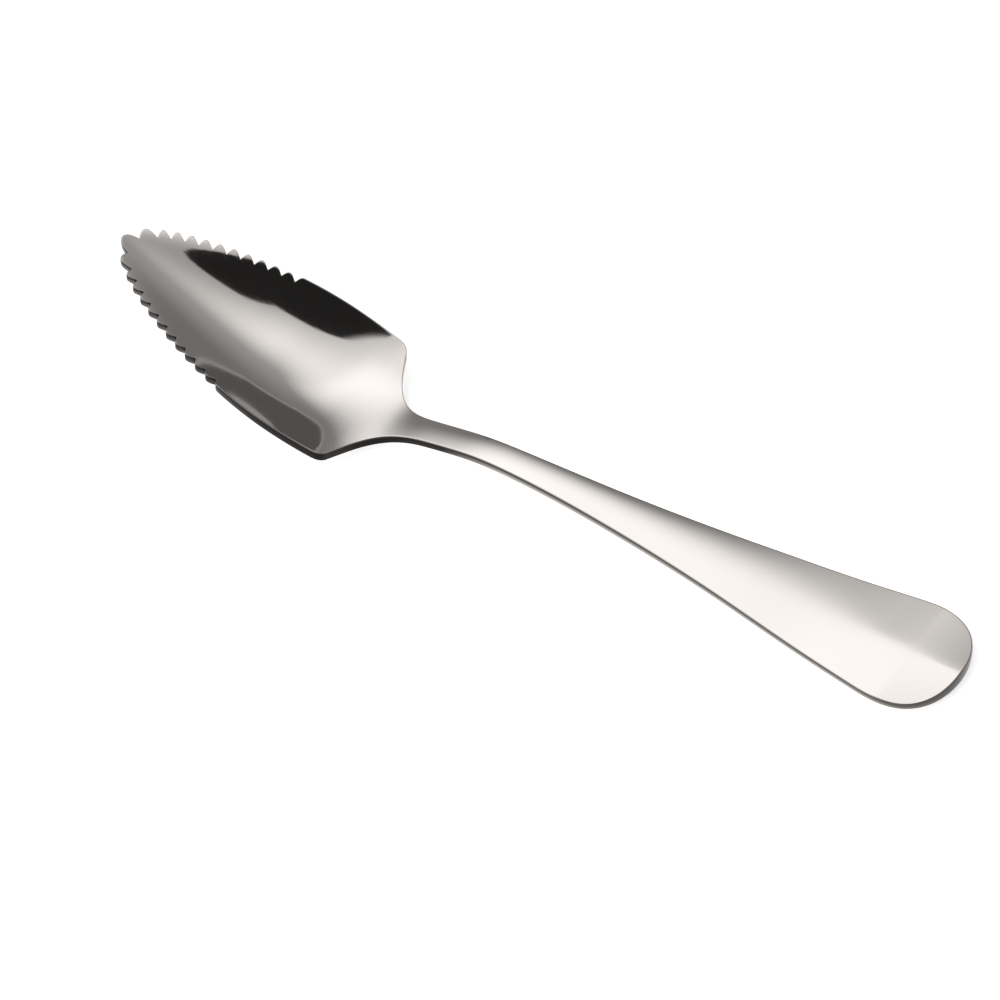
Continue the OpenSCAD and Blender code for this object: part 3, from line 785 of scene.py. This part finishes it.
def dark_opening(studio):
    """The dark gap in the tent that the camera looks through: a black cloth that the bowl mirrors."""
    material, tree = new_material("black cloth")
    h = studio.card_h
    place = add_node(tree, "ShaderNodeTexCoord").outputs["Object"]
    across = add_node(tree, "ShaderNodeVectorMath", {0: place, 1: (1, OPENING_SLANT, 0)},
                      operation="DOT_PRODUCT").outputs["Value"]
    thick = add_node(tree, "ShaderNodeMapRange", {0: across, 1: OPENING_FADE[0] * h, 2: OPENING_FADE[1] * h},
                     interpolation_type="SMOOTHSTEP").outputs[0]
    cloth = add_node(tree, "ShaderNodeEmission", {"Strength": CLOTH_LEVEL}).outputs[0]
    clear = add_node(tree, "ShaderNodeBsdfTransparent").outputs[0]
    both = add_node(tree, "ShaderNodeMixShader", {0: thick, 1: clear, 2: cloth}).outputs[0]
    add_node(tree, "ShaderNodeOutputMaterial", {"Surface": both})
    stage_object("dark opening", [(x * h, y * h, h) for x, y in OPENING_SHARES], material, visible=False)


def grey_board(studio):
    """A dim board with a pale frame behind the spoon: the near wall of the bowl mirrors its corner."""
    d = studio.board_y
    low = BOARD_SHARES[0][1]
    parts = (("grey board", BOARD_LEVEL, 0, 0, low * d),
             ("pale frame", FRAME_LEVEL, studio.board_frame, FRAME_GAP, 0))
    for name, level, grow, back, foot in parts:
        material, tree = new_material(name)
        glow = add_node(tree, "ShaderNodeEmission", {"Strength": level}).outputs[0]
        add_node(tree, "ShaderNodeOutputMaterial", {"Surface": glow})
        corners = [(x * d + grow, d + back, z * d + grow if z > low else foot) for x, z in BOARD_SHARES]
        stage_object(name, corners, material, visible=False)


def tent(studio):
    """White tent cloth all round, dimmer beyond the handle and lit from outside on the near side."""
    world = bpy.data.worlds.new("tent")
    world.use_nodes = True
    tree = world.node_tree
    tree.nodes.clear()
    way = add_node(tree, "ShaderNodeTexCoord").outputs["Generated"]
    part = add_node(tree, "ShaderNodeSeparateXYZ", {0: way}).outputs
    across = add_node(tree, "ShaderNodeMapRange",
                      {0: part["X"], 1: -1, 2: 1, 3: studio.left_level, 4: studio.right_level}).outputs[0]
    near = add_node(tree, "ShaderNodeMapRange",
                    {0: part["Y"], 1: NEAR_SIDE[0], 2: NEAR_SIDE[1], 3: 0, 4: studio.near_level},
                    interpolation_type="SMOOTHSTEP").outputs[0]
    level = add_node(tree, "ShaderNodeMath", {0: across, 1: near}, operation="ADD").outputs[0]
    sky = add_node(tree, "ShaderNodeBackground", {"Color": linear(TENT_COLOUR), "Strength": level}).outputs[0]
    add_node(tree, "ShaderNodeOutputWorld", {"Surface": sky})
    bpy.context.scene.world = world


class SPOON_OT_stage(bpy.types.Operator):
    """Set the floor, the lamps, the cards and the camera"""

    bl_idname = "spoon.stage"
    bl_label = "Set the stage"

    def execute(self, context):
        scene = context.scene
        studio = scene.spoon_studio
        scene.view_settings.view_transform = "Standard"
        place_camera(studio)
        white_floor(studio)
        tent(studio)
        for name in ("side", "main", "back"):
            parts = ("azimuth", "elevation", "turn", "w", "l", "level")
            place = [getattr(studio, f"{name}_{part}") for part in parts]
            softbox(f"{name} softbox", *place, studio.light_distance)
        dark_opening(studio)
        grey_board(studio)
        return {"FINISHED"}


class SPOON_PT_panel(bpy.types.Panel):
    """The spoon's sizes, finish and studio"""

    bl_label = "Grapefruit spoon"
    bl_idname = "SPOON_PT_panel"
    bl_space_type = "VIEW_3D"
    bl_region_type = "UI"
    bl_category = "Spoon"

    def draw(self, context):
        for operator in OPERATORS:
            self.layout.operator(operator.bl_idname)
        for name, group in GROUPS.items():
            box = self.layout.box()
            box.label(text=group.__doc__)
            for value in group.__annotations__:
                box.prop(getattr(context.scene, name), value)


OPERATORS = (SPOON_OT_stage, SPOON_OT_press)
GROUPS = {
    "spoon_blank": BlankSizes,
    "spoon_teeth": ToothSizes,
    "spoon_finish": SteelFinish,
    "spoon_studio": StudioSettings,
}


def register():
    for item in (*GROUPS.values(), *OPERATORS, SPOON_PT_panel):
        bpy.utils.register_class(item)
    for name, group in GROUPS.items():
        setattr(bpy.types.Scene, name, PointerProperty(type=group))


def unregister():
    for name in GROUPS:
        delattr(bpy.types.Scene, name)
    for item in (SPOON_PT_panel, *OPERATORS, *GROUPS.values()):
        bpy.utils.unregister_class(item)


def main():
    register()
    bpy.ops.spoon.stage()
    bpy.ops.spoon.press()


if __name__ == "__main__":
    main()
